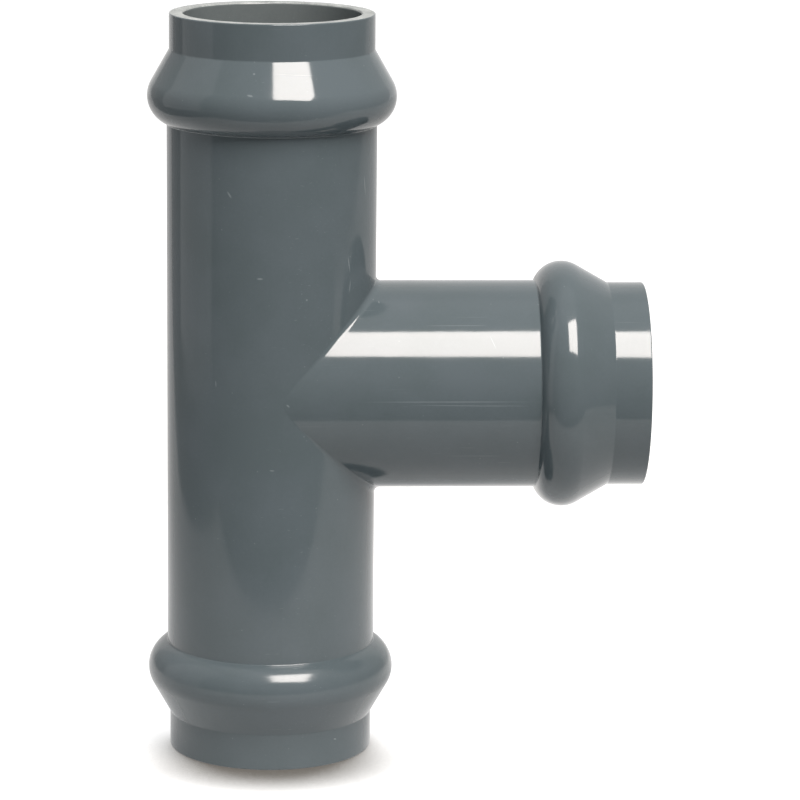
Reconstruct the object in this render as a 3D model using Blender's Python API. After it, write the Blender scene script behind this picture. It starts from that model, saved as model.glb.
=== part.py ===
"""Equal 90 degree tee in PVC-U for 63 mm pressure pipe, with three push-fit sockets.

The moulded body stands on the bottom mouth of its run, with the branch pointing along +X.
Behind each mouth the wall bulges round a groove, which holds two separate rings: a black rubber lip
seal, and on its mouth side a hard plastic ring that keeps the seal from rolling out.
The origin is the middle of the body's footprint box at floor level. Lengths are in metres.
"""

import math

import bmesh
import bpy

SEGMENTS = 48  # sides of every turned shape; a multiple of 4, so that the box is the true one

# The pipe and the socket that it slides into
PIPE_RADIUS = 0.0315
SOCKET_BORE = PIPE_RADIUS + 0.0002
WATERWAY = 0.0288  # bore past the pipe stop, about that of the pipe itself
CENTRE_TO_MOUTH = 0.1345
CENTRE_TO_STOP = 0.038

# The outside: a tube, and at each mouth a slightly narrower neck with a bulge behind it
TUBE_RADIUS = 0.0376
BRANCH_UNDERSIZE = 0.00015  # the branch is moulded this much slimmer than the run
NECK_RADIUS = 0.0367
CREST_RADIUS = 0.0445
CREST_DEPTH = 0.0295  # from the mouth
CREST_ROUNDING = 0.0105
CONE_ANGLE = math.radians(29.6)  # slope of the bulge on its mouth side
GROOVE_WALL = 0.005
GROOVE_BACK_ANGLE = math.radians(78)
GROOVE_BACK_EDGE = 0.0015
MOUTH_EDGE = 0.0004
LEAD_IN = 0.0008  # chamfer inside the mouth
CREST_STEPS = 7
GROOVE_STEPS = 6
OVERSHOOT = 0.01  # cutters run this far past the mouths

# The rings in the groove
RING_GAP = 0.00035
RETAINER_BORE = PIPE_RADIUS + 0.0005
RETAINER_FRONT = 0.0162  # depth of its front face
RETAINER_BACK = 0.0240
RETAINER_NOTCH = 0.0015  # the seal's nose sits in this V
LIP_RADIUS = 0.0299  # the relaxed lip is tighter than the pipe
BEAD_RADIUS = 0.0306

CREST_CENTRE = CREST_RADIUS - CREST_ROUNDING  # radius where both crest arcs are centred
GROOVE_ROUNDING = CREST_ROUNDING - GROOVE_WALL
RUN_LENGTH = 2 * CENTRE_TO_MOUTH
RUN_AXIS_X = (CREST_RADIUS - CENTRE_TO_MOUTH) / 2  # centres the footprint box on the origin
BRANCH_RADIUS = TUBE_RADIUS - BRANCH_UNDERSIZE

# Each socket: its mouth's centre, and the turn about Y that points +Z into the socket
SOCKETS = {
    "top": ((RUN_AXIS_X, 0.0, RUN_LENGTH), math.pi),
    "bottom": ((RUN_AXIS_X, 0.0, 0.0), 0.0),
    "branch": ((RUN_AXIS_X + CENTRE_TO_MOUTH, 0.0, CENTRE_TO_MOUTH), -math.pi / 2),
}


def clear_scene():
    for thing in list(bpy.data.objects):
        bpy.data.objects.remove(thing, do_unlink=True)


def plastic(name, colour, roughness):
    """A plain material. Nothing here is metal."""
    material = bpy.data.materials.new(name)
    material.use_nodes = True
    shader = material.node_tree.nodes["Principled BSDF"]
    shader.inputs["Base Color"].default_value = (*colour, 1.0)
    shader.inputs["Roughness"].default_value = roughness
    shader.inputs["Metallic"].default_value = 0.0
    return material


def arc(centre, radius, start, end, steps):
    """Points (radius, depth) on an arc round centre. Angle 0 points away from the axis, and a
    positive angle leans into the socket."""
    across, depth = centre
    angles = [start + (end - start) * i / steps for i in range(steps + 1)]
    return [(across + radius * math.cos(a), depth + radius * math.sin(a)) for a in angles]


def cone_start(rounding, radius):
    """Depth at which the cone that ends tangent to a crest of this rounding has this radius."""
    tangent_radius = CREST_CENTRE + rounding * math.cos(CONE_ANGLE)
    tangent_depth = CREST_DEPTH - rounding * math.sin(CONE_ANGLE)
    return tangent_depth - (tangent_radius - radius) / math.tan(CONE_ANGLE)


def cone_radius(rounding, depth):
    """Radius of that same cone at a depth."""
    return (depth - cone_start(rounding, CREST_CENTRE)) * math.tan(CONE_ANGLE) + CREST_CENTRE


def outside(tube_radius):
    """Outer outline of one socket, (radius, depth), from the mouth's rim back to the tube."""
    meets_tube = math.acos((tube_radius - CREST_CENTRE) / CREST_ROUNDING)
    crest = arc((CREST_CENTRE, CREST_DEPTH), CREST_ROUNDING, -CONE_ANGLE, meets_tube, CREST_STEPS)
    return [
        (NECK_RADIUS - MOUTH_EDGE, 0.0),
        (NECK_RADIUS, MOUTH_EDGE),
        (NECK_RADIUS, cone_start(CREST_ROUNDING, NECK_RADIUS)),
        *crest,
    ]


def inside(waterway):
    """Bore outline of one socket, from past the mouth to the pipe stop."""
    groove = arc(
        (CREST_CENTRE, CREST_DEPTH), GROOVE_ROUNDING, -CONE_ANGLE, GROOVE_BACK_ANGLE, GROOVE_STEPS
    )
    back_radius, back_depth = groove[-1]
    edge_radius = SOCKET_BORE + GROOVE_BACK_EDGE
    edge_depth = back_depth + (back_radius - edge_radius) / math.tan(GROOVE_BACK_ANGLE)
    return [
        (SOCKET_BORE + LEAD_IN, -OVERSHOOT),
        (SOCKET_BORE + LEAD_IN, 0.0),
        (SOCKET_BORE, LEAD_IN),
        (SOCKET_BORE, cone_start(GROOVE_ROUNDING, SOCKET_BORE)),
        *groove,
        (edge_radius, edge_depth),
        (SOCKET_BORE, edge_depth + GROOVE_BACK_EDGE),
        (SOCKET_BORE, CENTRE_TO_MOUTH - CENTRE_TO_STOP),
        (waterway, CENTRE_TO_MOUTH - CENTRE_TO_STOP),
    ]


def turned(name, outline, closed=False):
    """An object turned about its own Z from points (radius, z). An open outline is closed by
    flat ends that reach the axis."""
    points = outline if closed else [(0.0, outline[0][1]), *outline, (0.0, outline[-1][1])]
    bm = bmesh.new()
    verts = [bm.verts.new((radius, 0.0, z)) for radius, z in points]
    edges = [bm.edges.new(pair) for pair in zip(verts, verts[1:])]
    if closed:
        edges.append(bm.edges.new((verts[-1], verts[0])))
    bmesh.ops.spin(
        bm,
        geom=verts + edges,
        cent=(0.0, 0.0, 0.0),
        axis=(0.0, 0.0, 1.0),
        angle=2 * math.pi,
        steps=SEGMENTS,
        use_merge=True,
    )
    bmesh.ops.remove_doubles(bm, verts=bm.verts, dist=1e-7)
    bmesh.ops.recalc_face_normals(bm, faces=bm.faces)
    mesh = bpy.data.meshes.new(name)
    bm.to_mesh(mesh)
    bm.free()
    mesh.shade_smooth()
    mesh.set_sharp_from_angle(angle=math.radians(28))
    thing = bpy.data.objects.new(name, mesh)
    bpy.context.scene.collection.objects.link(thing)
    return thing


def both_ends(half):
    """A socket's outline from the bottom mouth, and its mirror image down from the top mouth."""
    return half + [(radius, RUN_LENGTH - depth) for radius, depth in reversed(half)]


def place(thing, socket):
    """Puts an object made round +Z at a socket's mouth, with +Z pointing into the socket."""
    location, turn = SOCKETS[socket]
    thing.location = location
    thing.rotation_euler = (0.0, turn, 0.0)


def combine(thing, other, operation):
    """Adds or cuts another object, which is then only a guide."""
    other.hide_render = True
    other.display_type = "WIRE"
    step = thing.modifiers.new(other.name, "BOOLEAN")
    step.operation = operation
    step.solver = "EXACT"
    step.object = other


def build_body(material):
    """The one moulded body: run and branch joined, then both bores cut through them."""
    body = turned("tee_body", both_ends(outside(TUBE_RADIUS)))
    place(body, "bottom")
    branch = turned("branch_outside", outside(BRANCH_RADIUS) + [(BRANCH_RADIUS, CENTRE_TO_MOUTH)])
    run_bore = turned("run_bore", both_ends(inside(WATERWAY)))
    side_waterway = WATERWAY - BRANCH_UNDERSIZE
    side_bore = turned("branch_bore", inside(side_waterway) + [(side_waterway, CENTRE_TO_MOUTH)])
    place(branch, "branch")
    place(run_bore, "bottom")
    place(side_bore, "branch")
    combine(body, branch, "UNION")
    combine(body, run_bore, "DIFFERENCE")
    combine(body, side_bore, "DIFFERENCE")
    body.data.materials.append(material)


def retainer_outline():
    """Wedge that fills the mouth side of the groove, with a V in its back."""
    rounding = GROOVE_ROUNDING - RING_GAP
    heel = cone_radius(rounding, RETAINER_BACK)
    return [
        (RETAINER_BORE, RETAINER_FRONT),
        (cone_radius(rounding, RETAINER_FRONT), RETAINER_FRONT),
        (heel, RETAINER_BACK),
        ((heel + RETAINER_BORE) / 2, RETAINER_BACK - RETAINER_NOTCH),
        (RETAINER_BORE, RETAINER_BACK),
    ]


def seal_outline():
    """Lip seal: a nose in the retainer's V, a heel in the groove's crest, and a lip that leans
    into the socket, so that water pressure spreads it onto the pipe."""
    front = RETAINER_BACK + RING_GAP
    rounding = GROOVE_ROUNDING - RING_GAP
    heel = cone_radius(rounding, front)
    crest = arc((CREST_CENTRE, CREST_DEPTH), rounding, -CONE_ANGLE, math.radians(72), GROOVE_STEPS)
    return [
        (RETAINER_BORE, front),
        ((heel + RETAINER_BORE) / 2, front - RETAINER_NOTCH),
        (heel, front),
        *crest,
        (0.0341, 0.0347),
        (0.0332, 0.0314),  # root of the pressure notch behind the lip
        (LIP_RADIUS + 0.0010, 0.0355),
        (LIP_RADIUS, 0.0351),
        (BEAD_RADIUS + 0.0005, 0.0300),
        (BEAD_RADIUS, 0.0282),
        (BEAD_RADIUS + 0.0004, 0.0264),
    ]


def build_rings(name, outline, material):
    """The same ring in all three sockets, each under an empty at its socket's mouth."""
    shared = None
    for socket in SOCKETS:
        ring = turned(f"{name}_{socket}", outline, closed=True)
        if shared is None:
            shared = ring.data
            shared.materials.append(material)
        else:
            spare = ring.data
            ring.data = shared
            bpy.data.meshes.remove(spare)
        ring.parent = bpy.data.objects[f"{socket}_mouth"]


def build():
    clear_scene()
    for socket in SOCKETS:
        mouth = bpy.data.objects.new(f"{socket}_mouth", None)
        bpy.context.scene.collection.objects.link(mouth)
        place(mouth, socket)
    build_body(plastic("pvc_grey", (0.092, 0.109, 0.118), 0.22))
    build_rings("retaining_ring", retainer_outline(), plastic("pp_natural", (0.62, 0.62, 0.58), 0.45))
    build_rings("sealing_ring", seal_outline(), plastic("epdm_black", (0.018, 0.018, 0.019), 0.55))


build()
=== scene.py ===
"""Looks of a grey PVC-U push-fit tee for 63 mm pressure pipe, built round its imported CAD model.

The body, the three lip seals and the three retaining rings are modelled again here with the fillets, rounded
edges, ribs and recesses that the faceted CAD leaves out. Lengths are in metres, in the CAD's frame: +Z up the
run, +X along the branch, and the camera looks roughly along +Y. In a socket, depth is measured from its mouth.
"""

import math

import bmesh
import bpy
import numpy as np
from mathutils import Matrix, Vector


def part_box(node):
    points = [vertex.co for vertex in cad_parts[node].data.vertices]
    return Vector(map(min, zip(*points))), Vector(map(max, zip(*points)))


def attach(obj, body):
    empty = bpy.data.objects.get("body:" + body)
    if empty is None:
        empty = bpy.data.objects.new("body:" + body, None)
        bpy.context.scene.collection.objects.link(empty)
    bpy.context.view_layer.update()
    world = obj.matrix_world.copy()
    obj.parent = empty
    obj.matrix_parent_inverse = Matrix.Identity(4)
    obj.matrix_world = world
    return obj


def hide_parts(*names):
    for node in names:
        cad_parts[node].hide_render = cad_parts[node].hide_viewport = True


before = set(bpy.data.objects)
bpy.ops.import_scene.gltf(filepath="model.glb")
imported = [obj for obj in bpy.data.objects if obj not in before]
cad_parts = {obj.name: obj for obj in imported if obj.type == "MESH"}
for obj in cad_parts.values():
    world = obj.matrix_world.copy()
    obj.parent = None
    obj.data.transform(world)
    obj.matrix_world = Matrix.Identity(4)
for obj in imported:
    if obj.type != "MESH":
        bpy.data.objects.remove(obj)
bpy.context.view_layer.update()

# ---------------------------------------------------------------- dimensions
BODY_LOW, BODY_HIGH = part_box("tee_body")
RUN_LENGTH = BODY_HIGH.z
CENTRE_Z = RUN_LENGTH / 2
MOUTH_DEPTH = CENTRE_Z  # from the crossing of the axes to a mouth, the same on all three sockets
BRANCH_UNDERSIZE = 0.00015  # the branch is this much slimmer than the run, inside and out

# Outside: a tube, then a bulge with a round crest, then a cone down to the neck at the mouth
TUBE_R = 0.0376
BRANCH_R = TUBE_R - BRANCH_UNDERSIZE
NECK_R = 0.0367
CREST_R = 0.0445
CREST_DEPTH = 0.0295
CREST_ROUND = 0.0105
CREST_CENTRE = CREST_R - CREST_ROUND
CREST_STEPS = 26
CONE = math.radians(29.6)  # slope of the bulge on its mouth side
RUN_X = BODY_LOW.x + CREST_R
COLLAR_DEPTH = 0.0440  # the plain tube ends here, just before the bulge
CORNER_FILLET = 0.0006
NECK_FILLET = 0.0012
MOUTH_ROUND = 0.00045
EDGE_STEPS = 5
STRAIGHT_STEPS = 5  # strips of faces on each straight stretch of an outline
SADDLE_FILLET = 0.0025  # radius of the ball that rolls in the corner between run and branch
SADDLE_STEPS = 8

# Inside: lead-in, socket, groove, socket again, pipe stop, waterway
BORE_R = 0.0317
LEAD_IN = 0.0004
LEAD_IN_DEPTH = 1.6 * LEAD_IN
LEAD_IN_STRIPS = 4  # strips of faces in it, which the lathe cuts too
GROOVE_ROUND = CREST_ROUND - 0.005
GROOVE_BACK = math.radians(78)
GROOVE_STEPS = 14
GROOVE_CONE_STEPS = 4
FRONT_ROUNDS = (0.0003, 0.0008, 0.0008)  # of the lead-in's two edges and the groove's front edge
FRONT_STEPS = 3
REAR_ROUNDS = (0.0014, 0.0005, 0.0004)  # of the groove's rear edge and the pipe stop's two corners
REAR_STEPS = 4
WATER_R = 0.0288
BRANCH_WATER_R = WATER_R - BRANCH_UNDERSIZE
STOP_DEPTH = MOUTH_DEPTH - 0.038
STOP_END = STOP_DEPTH + 0.0012
CROSSING_ROUND = 0.0006  # rounded edge where the waterways cross
CROSSING_STEPS = 4

# Rings in the groove
RING_SIDES = 192
RING_GAP = 0.00035
RING_ROUND = GROOVE_ROUND - RING_GAP
RETAINER_BORE = 0.0320
RETAINER_FRONT = 0.0162
RETAINER_BACK = 0.0240
RETAINER_NOTCH = 0.0015
RETAINER_ROUND = 0.0003
RETAINER_STEPS = 3
POCKETS = 16  # shallow recesses moulded into the retaining ring's front face
POCKET_DEPTH = 0.0008
POCKET_ROWS = (0.3, 0.38, 0.5, 0.62, 0.7)  # across the front face; the first and last stay at its level
SEAL_REAR = (0.0341, 0.0347)  # radius and depth of its rear edge
NOTCH_ROOT = (0.0332, 0.0314)  # and of the root of the pressure notch behind the lip
LIP_R = 0.0299
LIP_DEPTH = 0.0351
BEAD_R = 0.0306
BEAD_FRONT = 0.0264
BEAD_REAR = 0.0300
RIBS = 4
RIB_DEPTH = 0.0292  # of the crest of the first rib, which is the furthest in
RIB_PITCH = 0.0008
RIB_HEIGHT = 0.00028

# Columns and rows of the body's mesh
HALF_LOOP = 96  # on the half of the run that the branch joins
BACK_COLUMNS = 100
TUBE_ROWS = 12
ROW_CROWDING = 1.4  # rows on the tubes crowd towards the crossing by this power

# The body's finishes, in the order of its materials
MOULDED, TURNED_RUN, TURNED_BRANCH, BORE = range(4)

# Each socket's mouth, and its turn about Y that points +Z into the socket
SOCKETS = {
    "top": ((RUN_X, 0.0, RUN_LENGTH), math.pi),
    "bottom": ((RUN_X, 0.0, 0.0), 0.0),
    "branch": ((RUN_X + MOUTH_DEPTH, 0.0, CENTRE_Z), -math.pi / 2),
}


# ---------------------------------------------------------------- outlines
def arc(centre, radius, start, end, steps):
    """Points (radius, depth): angle 0 points away from the axis, and a positive angle into the socket."""
    angles = np.linspace(start, end, steps + 1)
    return [(centre[0] + radius * math.cos(a), centre[1] + radius * math.sin(a)) for a in angles]


def rounded(points, sizes, steps):
    """A polyline whose inner corners are arcs of these radii. A corner that is all but straight stays."""
    out = [points[0]]
    for before, at, after, size in zip(points, points[1:], points[2:], sizes):
        corner = Vector(at)
        one = (Vector(before) - corner).normalized()
        two = (Vector(after) - corner).normalized()
        half = one.angle(two) / 2
        if half > math.radians(89):
            out.append(at)
            continue
        reach = size / math.tan(half)
        centre = corner + (one + two).normalized() * (size / math.sin(half))
        first = corner + one * reach - centre
        last = corner + two * reach - centre
        turn = first.angle_signed(last)
        for i in range(steps + 1):
            a = -turn * i / steps
            across = first.x * math.cos(a) - first.y * math.sin(a)
            along = first.x * math.sin(a) + first.y * math.cos(a)
            out.append((centre.x + across, centre.y + along))
    out.append(points[-1])
    return out


def spread(start, end, steps):
    """Points strictly between two points, evenly spaced."""
    a, b = Vector(start), Vector(end)
    return [tuple(a.lerp(b, i / steps)) for i in range(1, steps)]


def cone_depth(rounding, radius):
    """Depth at which the cone tangent to a crest of this rounding has this radius."""
    tangent_r = CREST_CENTRE + rounding * math.cos(CONE)
    tangent_depth = CREST_DEPTH - rounding * math.sin(CONE)
    return tangent_depth - (tangent_r - radius) / math.tan(CONE)


def cone_radius(rounding, depth):
    """Radius of that same cone at a depth."""
    return (depth - cone_depth(rounding, CREST_CENTRE)) * math.tan(CONE) + CREST_CENTRE


def outside(tube_r):
    """Outer outline of a socket, from the tube to the rim's outer edge."""
    reach = CREST_ROUND + CORNER_FILLET
    across = tube_r + CORNER_FILLET - CREST_CENTRE
    meets = math.acos(across / reach)
    corner = (CREST_CENTRE + across, CREST_DEPTH + math.sqrt(reach**2 - across**2))
    turn = arc(corner, CORNER_FILLET, math.pi, math.pi + meets, EDGE_STEPS)
    crest = arc((CREST_CENTRE, CREST_DEPTH), CREST_ROUND, -CONE, meets, CREST_STEPS)
    cone_foot = (NECK_R, cone_depth(CREST_ROUND, NECK_R))
    onto_rim = (NECK_R - 0.002, 0.0)
    mouth = rounded([crest[0], cone_foot, (NECK_R, 0.0), onto_rim], (NECK_FILLET, MOUTH_ROUND), EDGE_STEPS)
    neck = mouth[1 : EDGE_STEPS + 2]
    edge = mouth[EDGE_STEPS + 2 : -1]
    return [
        (tube_r, COLLAR_DEPTH),
        *turn,
        *reversed(crest[:-1]),
        *spread(crest[0], neck[0], STRAIGHT_STEPS),
        *neck,
        *spread(neck[-1], edge[0], STRAIGHT_STEPS),
        *edge,
    ]


def inside(water_r):
    """Bore outline of a socket, from just past the pipe stop to the rim's inner edge."""
    groove = arc((CREST_CENTRE, CREST_DEPTH), GROOVE_ROUND, -CONE, GROOVE_BACK, GROOVE_STEPS)
    back_r, back_depth = groove[-1]
    rear_edge = back_depth + (back_r - BORE_R) / math.tan(GROOVE_BACK)
    front = [
        (BORE_R + LEAD_IN + 0.002, 0.0),
        (BORE_R + LEAD_IN, 0.0),
        (BORE_R, LEAD_IN_DEPTH),
        (BORE_R, cone_depth(GROOVE_ROUND, BORE_R)),
        groove[0],
    ]
    rear = [
        groove[-1],
        (BORE_R, rear_edge),
        (BORE_R, STOP_DEPTH),
        (water_r, STOP_DEPTH),
        (water_r, STOP_END),
    ]
    front = rounded(front, FRONT_ROUNDS, FRONT_STEPS)[1:-1]
    rear = rounded(rear, REAR_ROUNDS, REAR_STEPS)[1:]
    socket_from, socket_to = rear[REAR_STEPS], rear[REAR_STEPS + 1]
    rows = [
        *front,
        *spread(front[-1], groove[0], GROOVE_CONE_STEPS),
        *groove,
        *rear[: REAR_STEPS + 1],
        *spread(socket_from, socket_to, STRAIGHT_STEPS),
        *rear[REAR_STEPS + 1 :],
    ]
    return rows[::-1]


# ---------------------------------------------------------------- meshes
class Shell:
    """Vertices and faces collected for one mesh. New faces get the current finish."""

    def __init__(self):
        self.points = []
        self.faces = []
        self.finish = []
        self.current = 0

    def add(self, points):
        """Adds a row of vertices and returns their numbers."""
        first = len(self.points)
        self.points += [tuple(p) for p in points]
        return list(range(first, len(self.points)))

    def strip(self, one, two, closed=True):
        """Quads between two rows of the same length, or triangles where they share a vertex."""
        count = len(one)
        for i in range(count if closed else count - 1):
            j = (i + 1) % count
            corners = list(dict.fromkeys((one[i], one[j], two[j], two[i])))
            if len(corners) > 2:
                self.faces.append(corners)
                self.finish.append(self.current)

    def object(self, name):
        """The object, with its faces pointing out and its flat faces shaded flat."""
        mesh = bpy.data.meshes.new(name)
        mesh.from_pydata(self.points, [], self.faces)
        mesh.polygons.foreach_set("material_index", self.finish)
        bm = bmesh.new()
        bm.from_mesh(mesh)
        bmesh.ops.recalc_face_normals(bm, faces=bm.faces)
        bm.to_mesh(mesh)
        bm.free()
        mesh.shade_smooth()
        thing = bpy.data.objects.new(name, mesh)
        bpy.context.scene.collection.objects.link(thing)
        flat = thing.modifiers.new("flats stay flat", "WEIGHTED_NORMAL")
        flat.mode = "FACE_AREA"
        flat.weight = 80
        return thing


def saddle(run_r, branch_r, ball):
    """The angles of a loop round the branch, the centres of a ball that rolls in the corner along it, and
    the points where the ball touches the run and the branch.

    The loop starts at the front, goes over the top to the back, and returns underneath. Coordinates are
    relative to the crossing of the axes.
    """
    angle = np.radians(-90) + np.pi * np.arange(2 * HALF_LOOP) / HALF_LOOP
    y = (branch_r + ball) * np.sin(angle)
    z = (branch_r + ball) * np.cos(angle)
    x = np.sqrt((run_r + ball) ** 2 - y**2)
    centre = np.stack([x, y, z], 1)
    k_run = run_r / (run_r + ball)
    k_branch = branch_r / (branch_r + ball)
    on_run = np.stack([x * k_run, y * k_run, z], 1)
    on_branch = np.stack([x, y * k_branch, z * k_branch], 1)
    return angle, centre, on_run, on_branch


def along_tube(row):
    """Share of a tube's length at one of its rows of vertices."""
    return (row / TUBE_ROWS) ** ROW_CROWDING


def skin(shell, run_r, branch_r, ball, rows_of, first_depth, steps, finish, faced=0):
    """One tee-shaped surface, outer or inner. rows_of(radius) gives a socket's outline, from the tube out to
    the rim; first_depth is where it starts. The skin has this finish, apart from the last strips at each mouth,
    faced by the lathe. Returns the three rows of vertices at the rims."""
    shell.current = finish
    angle, centre, on_run, on_branch = saddle(run_r, branch_r, ball)
    origin = np.array([RUN_X, 0.0, CENTRE_Z])
    end = MOUTH_DEPTH - first_depth

    def strips(rows, turned):
        for i, (one, two) in enumerate(zip(rows, rows[1:])):
            shell.current = turned if len(rows) - 1 - i <= faced else finish
            shell.strip(one, two)

    # the fillet, from the run's loop to the branch's
    loops = [shell.add(on_run + origin)]
    start_dir = (on_run - centre) / ball
    end_dir = (on_branch - centre) / ball
    between = np.arccos(np.clip((start_dir * end_dir).sum(1), -1, 1))[:, None]
    for i in range(1, steps):
        t = i / steps
        way = (np.sin((1 - t) * between) * start_dir + np.sin(t * between) * end_dir) / np.sin(between)
        loops.append(shell.add(centre + ball * way + origin))
    loops.append(shell.add(on_branch + origin))
    for one, two in zip(loops, loops[1:]):
        shell.strip(one, two)

    # the branch, out along +X
    rows = [loops[-1]]
    for i in range(1, TUBE_ROWS):
        row = on_branch.copy()
        row[:, 0] += (end - row[:, 0]) * along_tube(i)
        rows.append(shell.add(row + origin))
    for radius, depth in rows_of(branch_r):
        x = np.full(len(angle), MOUTH_DEPTH - depth)
        row = np.stack([x, radius * np.sin(angle), radius * np.cos(angle)], 1)
        rows.append(shell.add(row + origin))
    strips(rows, TURNED_BRANCH)
    rims = [rows[-1]]

    # the run, up and down from the loop, and all the way along its back
    front = np.arctan2(on_run[: HALF_LOOP + 1, 1], on_run[: HALF_LOOP + 1, 0])
    back = np.linspace(front[-1], front[0] + 2 * np.pi, BACK_COLUMNS + 2)[1:-1]
    turn = np.concatenate([front, back])
    middle = shell.add(np.stack([run_r * np.cos(back), run_r * np.sin(back), 0 * back], 1) + origin)
    over = loops[0][: HALF_LOOP + 1]
    under = [loops[0][(2 * HALF_LOOP - j) % (2 * HALF_LOOP)] for j in range(HALF_LOOP + 1)]
    low = np.abs(np.concatenate([on_run[: HALF_LOOP + 1, 2], 0 * back]))
    for side, loop in ((1, over), (-1, under)):
        rows = [loop + middle]
        for i in range(1, TUBE_ROWS):
            z = side * (low + (end - low) * along_tube(i))
            row = np.stack([run_r * np.cos(turn), run_r * np.sin(turn), z], 1)
            rows.append(shell.add(row + origin))
        for radius, depth in rows_of(run_r):
            z = np.full(len(turn), side * (MOUTH_DEPTH - depth))
            row = np.stack([radius * np.cos(turn), radius * np.sin(turn), z], 1)
            rows.append(shell.add(row + origin))
        strips(rows, TURNED_RUN)
        rims.append(rows[-1])
    return rims


def build_body():
    """The one moulding: its outer and inner skins, and the three flat rims between them."""
    shell = Shell()
    outer = skin(shell, TUBE_R, BRANCH_R, SADDLE_FILLET, outside, COLLAR_DEPTH, SADDLE_STEPS, MOULDED)
    inner = skin(
        shell, WATER_R, BRANCH_WATER_R, CROSSING_ROUND, inside, STOP_END, CROSSING_STEPS, BORE, LEAD_IN_STRIPS
    )
    for one, two, finish in zip(outer, inner, (TURNED_BRANCH, TURNED_RUN, TURNED_RUN)):
        shell.current = finish
        shell.strip(one, two)
    return shell.object("moulded_tee_body")


def turned_ring(name, outline, socket, dent=None):
    """A closed ring turned from points (radius, depth) and put in a socket. dent(row, angle) is an
    extra depth for a point of the outline, as an array over the angles."""
    angle = 2 * np.pi * np.arange(RING_SIDES) / RING_SIDES
    location, turn = SOCKETS[socket]
    shell = Shell()
    rows = []
    for i, (radius, depth) in enumerate(outline):
        z = np.full(RING_SIDES, depth)
        if dent is not None:
            z = z + dent(i, angle)
        rows.append(shell.add(np.stack([radius * np.cos(angle), radius * np.sin(angle), z], 1)))
    for one, two in zip(rows, rows[1:] + rows[:1]):
        shell.strip(one, two)
    thing = shell.object(f"{name}_{socket}")
    thing.data.transform(Matrix.Translation(location) @ Matrix.Rotation(turn, 4, "Y"))
    return thing


def build_retainer(socket):
    """The hard ring: a wedge with recesses in its mouth side and a V at its back for the seal's nose."""
    heel = cone_radius(RING_ROUND, RETAINER_BACK)
    front_r = cone_radius(RING_ROUND, RETAINER_FRONT)
    inner_side = (RETAINER_BORE, (RETAINER_FRONT + RETAINER_BACK) / 2)
    corners = [
        inner_side,
        (RETAINER_BORE, RETAINER_FRONT),
        (front_r, RETAINER_FRONT),
        (heel, RETAINER_BACK),
        ((heel + RETAINER_BORE) / 2, RETAINER_BACK - RETAINER_NOTCH),
        (RETAINER_BORE, RETAINER_BACK),
        inner_side,
    ]
    rounds = (RETAINER_ROUND, RETAINER_ROUND, RETAINER_ROUND, 0.0004, RETAINER_ROUND)
    outline = rounded(corners, rounds, RETAINER_STEPS)[:-1]
    face_at = RETAINER_STEPS + 2  # the front face comes after the first corner
    width = front_r - RETAINER_BORE
    outline[face_at:face_at] = [(RETAINER_BORE + width * t, RETAINER_FRONT) for t in POCKET_ROWS]
    floor_rows = range(face_at + 1, face_at + len(POCKET_ROWS) - 1)

    def dent(row, angle):
        if row not in floor_rows:
            return 0 * angle
        return POCKET_DEPTH * np.clip((np.cos(POCKETS * angle) + 0.35) / 0.25, 0, 1)

    return turned_ring("pocketed_retaining_ring", outline, socket, dent)


def build_seal(socket):
    """The rubber ring: a nose in the retainer's V, a heel in the groove, a lip that leans in, and a ribbed
    bead that the pipe slides past first."""
    front = RETAINER_BACK + RING_GAP
    heel = cone_radius(RING_ROUND, front)
    crest = arc((CREST_CENTRE, CREST_DEPTH), RING_ROUND, -CONE, math.radians(72), 12)
    nose_corners = [
        (RETAINER_BORE + 0.001, front - 0.0006),
        ((heel + RETAINER_BORE) / 2, front - RETAINER_NOTCH),
        (heel, front),
        crest[0],
    ]
    nose = rounded(nose_corners, (0.0005, 0.0006), 4)
    rib_points = 2 * RIBS - 1
    lip_corners = [
        crest[-1],
        SEAL_REAR,
        NOTCH_ROOT,
        (LIP_R + 0.0010, LIP_DEPTH + 0.0004),
        (LIP_R, LIP_DEPTH),
        (BEAD_R + 0.0005, BEAD_REAR),
        *[(BEAD_R + RIB_HEIGHT * (i % 2), RIB_DEPTH - RIB_PITCH / 2 * i) for i in range(rib_points)],
        (BEAD_R + 0.0004, BEAD_FRONT),
        (RETAINER_BORE, front),
        nose[0],
    ]
    rib_rounds = [RIB_HEIGHT / 3] * rib_points
    lip = rounded(lip_corners, (0.0006, 0.0005, 0.0002, 0.0002, 0.0006, *rib_rounds, 0.0006, 0.0004), 4)
    return turned_ring("ribbed_lip_seal", nose[:-1] + crest + lip[1:-1], socket)


# ---------------------------------------------------------------- looks of the fitting
PVC_IOR = 1.4
PVC_DEEP = (0.045, 0.058, 0.063, 1)
PVC_PALE = (0.051, 0.064, 0.071, 1)
PVC_SCUFFED = (0.26, 0.29, 0.30, 1)
PVC_ROUGHNESS = 0.08
# The bore's colours are paler than the outer skin's: painted light lifting the inside of the sockets
BORE_LIT_DEEP = (0.066, 0.076, 0.078, 1)
BORE_LIT_PALE = (0.078, 0.089, 0.091, 1)
BORE_ROUGHNESS = 0.18
RIM_DEEP = (0.11, 0.12, 0.12, 1)
RIM_PALE = (0.26, 0.275, 0.27, 1)
LATHE_PITCH = 0.00045
FOOT_SCUFF_TOP = 0.065  # the moulding is duller below this height, where it stands and slides
FOOT_SCUFF_BLEND = 0.02
SKIN_RELIEF = 0.00003  # height of the moulded skin's waves and marks
RIM_RELIEF = 0.00006
RUBBER_DEEP = (0.014, 0.014, 0.015, 1)
RUBBER_TALCED = (0.075, 0.074, 0.072, 1)
NATURAL_DEEP = (0.56, 0.56, 0.51, 1)
NATURAL_PALE = (0.66, 0.66, 0.62, 1)
NATURAL_GRIMY = (0.25, 0.23, 0.19, 1)

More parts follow.
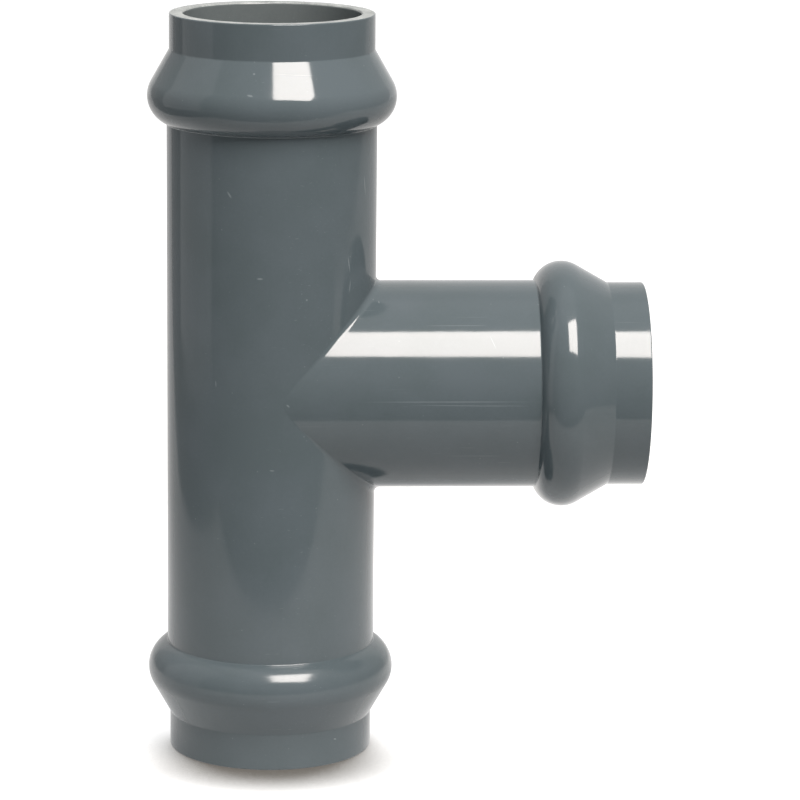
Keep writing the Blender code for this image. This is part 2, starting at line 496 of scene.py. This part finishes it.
# Scratches: turn, length, width, how high a crest must be to show, and size of scratched areas
HAIRLINES = [
    ((0.0, 0.0, 0.0), 0.060, 0.00045, 0.735, 0.022),
    ((0.0, 1.50, 0.0), 0.030, 0.00040, 0.745, 0.025),
    ((0.5, 0.75, 0.3), 0.014, 0.00035, 0.75, 0.018),
]

# Specks: cell size, radius, and share of cells left empty
DUST = (0.0042, 0.00034, 0.62)
GRIT = (0.0016, 0.00013, 0.55)
TALC = (0.0011, 0.00012, 0.4)
GRIME = (0.0022, 0.00016, 0.6)

# How strongly each kind of wear shows
LINE_WEAR = 0.22
MARK_WEAR = 0.36
DUST_WEAR = 0.22
GRIT_WEAR = 0.08

# Marks of handling on the side that faces the camera: middle, turn and half sizes
NICKS = [
    ((0.0170, -0.0374, 0.1356), (0.0, 0.0, 0.0), (0.034, 0.001, 0.00016)),
    ((0.0240, -0.0374, 0.1342), (0.0, 0.01, 0.0), (0.022, 0.001, 0.00012)),
    ((-0.0182, -0.0264, 0.1830), (0.0, 1.45, 0.0), (0.0035, 0.002, 0.00020)),
    ((-0.0178, -0.0258, 0.1750), (0.0, 1.66, 0.0), (0.0025, 0.002, 0.00020)),
    ((-0.0125, -0.0190, 0.2100), (0.0, 1.50, 0.0), (0.0040, 0.002, 0.00015)),
    ((-0.0605, -0.0342, 0.2090), (0.0, 1.00, 0.0), (0.0016, 0.002, 0.00040)),
    ((-0.0498, -0.0373, 0.1797), (0.0, 0.00, 0.0), (0.0013, 0.001, 0.00045)),
    ((-0.0333, -0.0357, 0.1719), (0.0, 0.00, 0.0), (0.0004, 0.001, 0.00040)),
    ((-0.0652, -0.0318, 0.1410), (0.0, 1.50, 0.0), (0.0014, 0.002, 0.00022)),
    ((-0.0454, -0.0376, 0.1108), (0.0, 0.05, 0.0), (0.0011, 0.001, 0.00030)),
    ((-0.0398, -0.0372, 0.1342), (0.0, 0.70, 0.0), (0.0009, 0.001, 0.00040)),
    ((-0.0071, -0.0173, 0.1677), (0.0, 1.40, 0.0), (0.0007, 0.001, 0.00025)),
    ((-0.0520, -0.0383, 0.2520), (0.0, 0.00, 0.0), (0.0005, 0.001, 0.00040)),
    ((-0.0535, -0.0422, 0.2449), (0.0, 0.20, 0.0), (0.0014, 0.001, 0.00040)),
    ((-0.0375, -0.0383, 0.2517), (0.0, 0.05, 0.0), (0.0085, 0.003, 0.00016)),
    ((0.0330, -0.0300, 0.1555), (0.0, 1.10, 0.0), (0.0030, 0.004, 0.00012)),
    ((-0.0222, -0.0287, 0.0092), (0.0, 0.30, 0.0), (0.0008, 0.001, 0.00030)),
]


def node_maker(tree):
    """A function that adds a shader node, fills its inputs with values or other nodes' outputs, and returns
    one of its own outputs."""

    def node(kind, inputs, output=0, **settings):
        item = tree.nodes.new("ShaderNode" + kind)
        for key, value in settings.items():
            setattr(item, key, value)
        for key, value in inputs.items():
            if isinstance(value, bpy.types.NodeSocket):
                tree.links.new(value, item.inputs[key])
            else:
                item.inputs[key].default_value = value
        return item.outputs[output]

    return node


def start_material(name):
    """A new material, its Principled shader, its node function, a function that links a value to an input of
    the shader, and the place on the object."""
    made = bpy.data.materials.new(name)
    made.use_nodes = True
    tree = made.node_tree
    shader = tree.nodes["Principled BSDF"]
    node = node_maker(tree)

    def link(socket, value):
        tree.links.new(value, shader.inputs[socket])

    return made, shader, node, link, node("TexCoord", {}, "Object")


def ramp(node, value, low, high, to_low=0.0, to_high=1.0):
    """value, spread from low..high to to_low..to_high and clamped."""
    return node(
        "MapRange", {"Value": value, "From Min": low, "From Max": high, "To Min": to_low, "To Max": to_high}
    )


def blend(node, amount, one, two):
    """Colour one where amount is 0, colour two where it is 1."""
    return node("Mix", {"Factor": amount, "A": one, "B": two}, 2, data_type="RGBA")


def times(node, one, two):
    return node("Math", {0: one, 1: two}, operation="MULTIPLY")


def total(node, first, *others):
    """The sum of several masks, clamped to 0..1."""
    for other in others:
        first = node("Math", {0: first, 1: other}, operation="ADD", use_clamp=True)
    return first


def length(node, vector):
    return node("VectorMath", {0: vector}, 1, operation="LENGTH")


def bump(node, height, distance, strength):
    return node("Bump", {"Strength": strength, "Distance": distance, "Height": height})


def hairlines(node, place, turn, along, across, sparse, patch):
    """Fine scratches, as the crests of a noise that is drawn out along its own X. along and across are
    their length and width, sparse is how high a crest must be, and patch is the size of scratched areas."""
    drawn = node("Mapping", {"Vector": place, "Rotation": turn, "Scale": (1 / along, 1 / across, 1 / across)})
    crest = node("TexNoise", {"Vector": drawn, "Scale": 1.0, "Detail": 1.5, "Roughness": 0.45})
    where = node("TexNoise", {"Vector": place, "Scale": 1 / patch, "Detail": 1.0})
    line = ramp(node, crest, sparse, sparse + 0.025)
    return times(node, line, ramp(node, where, 0.50, 0.60))


def specks(node, place, size, radius, few):
    """Small dots at random points: the cell size, the dots' radius, and the share of cells left empty."""
    cells = node("TexVoronoi", {"Vector": place, "Scale": 1 / size}, 0)
    pick = node("TexVoronoi", {"Vector": place, "Scale": 1 / size}, 1)
    dot = ramp(node, cells, radius / size, 0.4 * radius / size)
    return times(node, dot, ramp(node, node("SeparateColor", {"Color": pick}), few, few + 0.02))


def nick(node, place, at, turn, size):
    """One mark of handling: an ellipsoid at a point, turned about the point's own axes."""
    inside_it = node(
        "Mapping", {"Vector": place, "Location": at, "Rotation": turn, "Scale": size}, vector_type="TEXTURE"
    )
    return ramp(node, length(node, inside_it), 1.0, 0.45)


def moulded_pvc(name, deep, pale, roughness):
    """Dark blue-grey PVC-U as it leaves a polished mould, with the hairlines and dust of a shelf."""
    made, shader, node, link, place = start_material(name)
    cloud = node("TexNoise", {"Vector": place, "Scale": 38.0, "Detail": 4.0, "Roughness": 0.55})
    mottle = node("TexNoise", {"Vector": place, "Scale": 900.0, "Detail": 3.0, "Roughness": 0.6})
    tone = total(node, times(node, cloud, 0.75), times(node, mottle, 0.25))
    base = blend(node, ramp(node, tone, 0.38, 0.62), deep, pale)

    lines = total(node, *[hairlines(node, place, *line) for line in HAIRLINES])
    marks = total(node, *[nick(node, place, *mark) for mark in NICKS])
    dust = specks(node, place, *DUST)
    grit = specks(node, place, *GRIT)
    worn = total(node, times(node, lines, LINE_WEAR), times(node, marks, MARK_WEAR))
    dusty = total(node, times(node, dust, DUST_WEAR), times(node, grit, GRIT_WEAR))
    scuffs = total(node, worn, dusty)
    link("Base Color", blend(node, times(node, scuffs, 0.6), base, PVC_SCUFFED))

    smudge = node("TexNoise", {"Vector": place, "Scale": 55.0, "Detail": 5.0, "Roughness": 0.65})
    sheen = ramp(node, smudge, 0.35, 0.75, roughness, roughness + 0.05)
    height = node("SeparateXYZ", {0: place}, "Z")
    rubbed = ramp(node, height, FOOT_SCUFF_TOP, FOOT_SCUFF_TOP - FOOT_SCUFF_BLEND, 0.0, 0.07)
    link("Roughness", total(node, sheen, rubbed, times(node, scuffs, 0.35)))

    skin_wave = node("TexNoise", {"Vector": place, "Scale": 130.0, "Detail": 2.0})
    raised = total(node, times(node, skin_wave, 0.5), times(node, total(node, dust, grit), 0.12))
    cut = times(node, total(node, lines, marks), 0.10)
    relief = node("Math", {0: raised, 1: cut}, operation="SUBTRACT")
    link("Normal", bump(node, relief, SKIN_RELIEF, 1.0))
    shader.inputs["IOR"].default_value = PVC_IOR
    return made


def turned_pvc(name, centre, axis):
    """The same plastic where a saw and a lathe faced the socket's rim: pale, dull and ringed."""
    made, shader, node, link, place = start_material(name)
    flat = Vector((1, 1, 1)) - Vector(axis)
    from_axis = node("VectorMath", {0: place, 1: centre}, operation="SUBTRACT")
    radius = length(node, node("VectorMath", {0: from_axis, 1: flat}, operation="MULTIPLY"))
    rings = node("Math", {0: times(node, radius, 2 * math.pi / LATHE_PITCH)}, operation="SINE")
    grain = node("TexNoise", {"Vector": place, "Scale": 1500.0, "Detail": 4.0, "Roughness": 0.7})
    smear = node("TexNoise", {"Vector": place, "Scale": 160.0, "Detail": 3.0})
    pale = total(node, times(node, grain, 0.6), times(node, smear, 0.4))
    link("Base Color", blend(node, ramp(node, pale, 0.36, 0.64), RIM_DEEP, RIM_PALE))
    link("Roughness", ramp(node, grain, 0.3, 0.7, 0.42, 0.68))
    link("Normal", bump(node, total(node, times(node, rings, 0.25), grain), RIM_RELIEF, 0.8))
    shader.inputs["IOR"].default_value = PVC_IOR
    return made


def seal_rubber():
    """Black EPDM: dull, very finely grained, with a grey bloom of talc."""
    made, shader, node, link, place = start_material("epdm_black_talced")
    bloom = node("TexNoise", {"Vector": place, "Scale": 120.0, "Detail": 5.0, "Roughness": 0.7})
    grain = node("TexNoise", {"Vector": place, "Scale": 2600.0, "Detail": 2.0})
    talc = specks(node, place, *TALC)
    grey = total(node, ramp(node, bloom, 0.45, 0.75, 0.0, 0.5), times(node, talc, 0.4))
    link("Base Color", blend(node, grey, RUBBER_DEEP, RUBBER_TALCED))
    link("Roughness", ramp(node, bloom, 0.3, 0.7, 0.46, 0.66))
    link("Normal", bump(node, grain, 0.00003, 0.6))
    return made


def ring_plastic():
    """Undyed polypropylene: milky, waxy, with faint flow marks."""
    made, shader, node, link, place = start_material("pp_natural_waxy")
    flow = node("TexNoise", {"Vector": place, "Scale": 90.0, "Detail": 3.0, "Distortion": 1.2})
    grain = node("TexNoise", {"Vector": place, "Scale": 1800.0, "Detail": 3.0})
    grime = specks(node, place, *GRIME)
    milky = blend(node, ramp(node, flow, 0.35, 0.65), NATURAL_DEEP, NATURAL_PALE)
    link("Base Color", blend(node, times(node, grime, 0.6), milky, NATURAL_GRIMY))
    link("Roughness", ramp(node, grain, 0.3, 0.7, 0.34, 0.50))
    link("Normal", bump(node, grain, 0.00003, 0.5))
    shader.inputs["Subsurface Weight"].default_value = 0.25
    shader.inputs["Subsurface Radius"].default_value = (0.002, 0.002, 0.0016)
    shader.inputs["Subsurface Scale"].default_value = 1.0
    return made


# ---------------------------------------------------------------- the fitting
rubber = seal_rubber()
polypropylene = ring_plastic()
body = build_body()
for finish in (
    moulded_pvc("pvc_grey_moulded", PVC_DEEP, PVC_PALE, PVC_ROUGHNESS),
    turned_pvc("pvc_grey_turned_run", (RUN_X, 0.0, 0.0), (0, 0, 1)),
    turned_pvc("pvc_grey_turned_branch", (0.0, 0.0, CENTRE_Z), (1, 0, 0)),
    # the bore: the same plastic, made paler by painted light inside the sockets
    moulded_pvc("pvc_grey_bore_painted_light", BORE_LIT_DEEP, BORE_LIT_PALE, BORE_ROUGHNESS),
):
    body.data.materials.append(finish)
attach(body, "root")
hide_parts("tee_body")
for socket in SOCKETS:
    seal = build_seal(socket)
    seal.data.materials.append(rubber)
    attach(seal, "root")
    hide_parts(f"sealing_ring_{socket}")
    retainer = build_retainer(socket)
    retainer.data.materials.append(polypropylene)
    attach(retainer, "root")
    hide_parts(f"retaining_ring_{socket}")

# ---------------------------------------------------------------- stage
SWEEP_R = 0.6  # where the floor and the card curve up

# The floor that the camera sees: round, and walled on all sides
FLOOR_R = 3.4
FLOOR_SIDES = 96
WALL_TOP = 5.0
FLOOR_GLOW = 0.92
FLOOR_DEEP = (0.198, 0.198, 0.197, 1)
FLOOR_PALE = (0.204, 0.204, 0.203, 1)

# The shade at the object's foot, painted into the floor's colour and glow: longest towards the front, none
# beyond SHADE_OUT
SHADE_LEAN = math.radians(68)
SHADE_REACH = 0.036
SHADE_FROM = 0.14
SHADE_TO = 0.54
SHADE_IN = 0.20
SHADE_OUT = 0.30
SHADE_BASE = (0.02, 0.018, 0.015, 1)
SHADE_COLOUR = (0.105, 0.097, 0.085, 1)

# The card that lights the object and is mirrored in it: the front edge and the left edge, as (x, y)
CARD_FRONT = [(-0.41, -0.22), (-0.2, -0.247), (0.0, -0.26), (0.24, -0.27), (0.9, -0.31)]
CARD_LEFT = [(-0.45, 0.25), (-0.62, 0.69), (-0.94, 1.17), (-1.2, 1.55)]
CARD_FLARE = 0.5  # how fast its right edge moves out
CARD_TOP = 2.4
CARD_DROP = 0.001  # how far it lies below the floor
CARD_WHITE = 0.3
# How brightly it glows close to the object, further off, and where it rises
NEAR_GLOW = 0.60
FAR_GLOW = 0.32
RISE_GLOW = 0.52

# Lamps: place, direction back from the object as (yaw, pitch, roll) in degrees, size, watts and colour
LAMPS = {
    "key": ((0.3871, -0.9977, 1.6436), (49.476, 42.292, -33.958), (1.058, 1.029), 92.0, (1.0, 0.944, 0.90)),
    "left_panel": ((-1.65, 0.15, 1.15), (-90, 0, 0), (1.5, 2.7), 6.0, (1, 1, 1)),
}

# The room's brightness by the sine of the height above the horizon
ROOM = [
    (-0.12, 0.41),
    (0.0, 0.50),
    (0.1, 0.50),
    (0.3, 0.62),
    (0.5, 0.62),
    (0.7, 0.73),
    (0.85, 0.73),
    (0.95, 1.12),
]

CAMERA_PLACE = (RUN_X - 0.02848, -1.4289, 0.43527)
CAMERA_TURN = (-3.011, 12.108, 0.561)  # as for the lamps
CAMERA_LENS = 181.65
SENSOR_WIDTH = 36.0


def add_object(name, data):
    thing = bpy.data.objects.new(name, data)
    bpy.context.scene.collection.objects.link(thing)
    return thing


def stage(name, rows, closed):
    """A smooth sheet through rows of points, which isn't part of the fitting."""
    shell = Shell()
    rings = [shell.add(row) for row in rows]
    for one, two in zip(rings, rings[1:]):
        shell.strip(one, two, closed)
    mesh = bpy.data.meshes.new(name)
    mesh.from_pydata(shell.points, [], shell.faces)
    mesh.shade_smooth()
    thing = add_object(name, mesh)
    return thing


def build_floor():
    """A round white floor that sweeps up into a wall on all sides, well outside every camera."""
    turn = 2 * np.pi * np.arange(FLOOR_SIDES) / FLOOR_SIDES
    profile = [(r, 0.0) for r in np.linspace(0.00001, FLOOR_R, 12)]  # the first ring is all but a point
    for a in np.radians(range(5, 91, 5)):
        profile.append((FLOOR_R + SWEEP_R * math.sin(a), SWEEP_R * (1 - math.cos(a))))
    profile.append((FLOOR_R + SWEEP_R, WALL_TOP))
    rows = [np.stack([r * np.cos(turn), r * np.sin(turn), np.full(FLOOR_SIDES, z)], 1) for r, z in profile]
    floor = stage("floor", rows, True)
    floor.data.materials.append(light_table())
    floor.visible_diffuse = False
    floor.visible_glossy = False
    floor.visible_shadow = False


def build_card():
    """A white table that widens behind the object and sweeps up into a white backdrop. The camera doesn't
    see it, but the glossy plastic mirrors its front edge and the dim room beyond it."""
    front = np.array([(x, y, 0.0) for x, y in CARD_FRONT])
    right_x, front_y = CARD_FRONT[-1]
    rows = [front]
    for left, y in CARD_LEFT:
        x = np.linspace(left, right_x + (y - front_y) * CARD_FLARE, len(front))
        rows.append(np.stack([x, np.full(len(front), y), 0 * x], 1))
    last = rows[-1]
    for a in np.radians(np.linspace(0, 90, 25))[1:]:
        rows.append(last + (0.0, SWEEP_R * math.sin(a), SWEEP_R * (1 - math.cos(a))))
    rows.append(rows[-1] + (0.0, 0.0, CARD_TOP - SWEEP_R))
    card = stage("bounce_card", rows, False)
    card.data.materials.append(white_card())
    card.location.z = -CARD_DROP
    card.visible_camera = False


def fibres(node, place, deep, pale):
    """Faint fibres in a white sheet."""
    fibre = node("TexNoise", {"Vector": place, "Scale": 300.0, "Detail": 3.0})
    return blend(node, fibre, deep, pale)


def light_table():
    """White acrylic that glows, with a painted shadow darkening its colour and glow where the object all but
    touches it.
    """
    made, shader, node, link, place = start_material("white_light_table")
    towards_rear = node("CombineXYZ", {"X": 0.0, "Y": math.sin(SHADE_LEAN), "Z": math.cos(SHADE_LEAN)})
    near = node("AmbientOcclusion", {"Distance": SHADE_REACH, "Normal": towards_rear}, "AO", samples=24)
    far_off = ramp(node, length(node, place), SHADE_IN, SHADE_OUT)
    open_air = total(node, ramp(node, near, SHADE_FROM, SHADE_TO), far_off)
    white = fibres(node, place, FLOOR_DEEP, FLOOR_PALE)
    # painted shadow: the colour and the glow turn dark where the object is near
    link("Base Color", blend(node, open_air, SHADE_BASE, white))
    link("Emission Color", blend(node, open_air, SHADE_COLOUR, (1.0, 1.0, 1.0, 1)))
    shader.inputs["Emission Strength"].default_value = FLOOR_GLOW
    shader.inputs["Roughness"].default_value = 0.7
    return made


def white_card():
    """Plain white card, which glows most close to the object."""
    made, shader, node, link, place = start_material("white_card")
    deep = (CARD_WHITE - 0.01,) * 3 + (1,)
    pale = (CARD_WHITE + 0.01,) * 3 + (1,)
    link("Base Color", fibres(node, place, deep, pale))
    lying = ramp(node, length(node, place), 0.25, 0.45, NEAR_GLOW, FAR_GLOW)
    risen = ramp(node, node("SeparateXYZ", {0: place}, "Z"), 0.0, 0.1)
    link("Emission Strength", node("Mix", {"Factor": risen, "A": lying, "B": RISE_GLOW}))
    shader.inputs["Emission Color"].default_value = (1.0, 1.0, 1.0, 1)
    shader.inputs["Roughness"].default_value = 0.7
    return made


def facing(location, angles):
    """World matrix of a lamp or camera. Its yaw and pitch, in degrees, are the direction from what it faces
    back to it, with yaw 0 in front at -Y, and its roll turns it about that."""
    yaw, pitch, roll = (math.radians(a) for a in angles)
    out = Vector((math.sin(yaw) * math.cos(pitch), -math.cos(yaw) * math.cos(pitch), math.sin(pitch)))
    side = Vector((math.cos(yaw), math.sin(yaw), 0.0))
    top = out.cross(side)
    side, top = side * math.cos(roll) + top * math.sin(roll), top * math.cos(roll) - side * math.sin(roll)
    return Matrix.Translation(location) @ Matrix((side, top, out)).transposed().to_4x4()


def softbox(name, location, angles, size, energy, colour):
    """A rectangular lamp."""
    lamp = bpy.data.lights.new(name, "AREA")
    lamp.shape = "RECTANGLE"
    lamp.size, lamp.size_y = size
    lamp.energy = energy
    lamp.color = colour
    add_object(name, lamp).matrix_world = facing(location, angles)


def build_room():
    """The world: a grey room, brightest at the ceiling."""
    world = bpy.data.worlds.new("room")
    bpy.context.scene.world = world
    world.use_nodes = True
    tree = world.node_tree
    node = node_maker(tree)
    sine = node("SeparateXYZ", {0: node("TexCoord", {}, "Generated")}, "Z")
    room = tree.nodes.new("ShaderNodeValToRGB")
    tree.links.new(ramp(node, sine, -1.0, 1.0), room.inputs[0])
    tree.links.new(room.outputs[0], tree.nodes["Background"].inputs["Color"])
    stops = room.color_ramp.elements  # there are two to start with
    for i, (sine, level) in enumerate(ROOM):
        stop = stops[i] if i < 2 else stops.new(0.5 * (sine + 1))
        stop.position = 0.5 * (sine + 1)
        stop.color = (level, level, level, 1)


def build_camera():
    data = bpy.data.cameras.new("camera")
    data.lens = CAMERA_LENS
    data.sensor_width = SENSOR_WIDTH
    data.clip_end = 30.0
    camera = add_object("camera", data)
    camera.matrix_world = facing(CAMERA_PLACE, CAMERA_TURN)
    bpy.context.scene.camera = camera


build_floor()
build_card()
for name, lamp in LAMPS.items():
    softbox(name, *lamp)
build_room()
build_camera()
bpy.context.scene.view_settings.view_transform = "Standard"
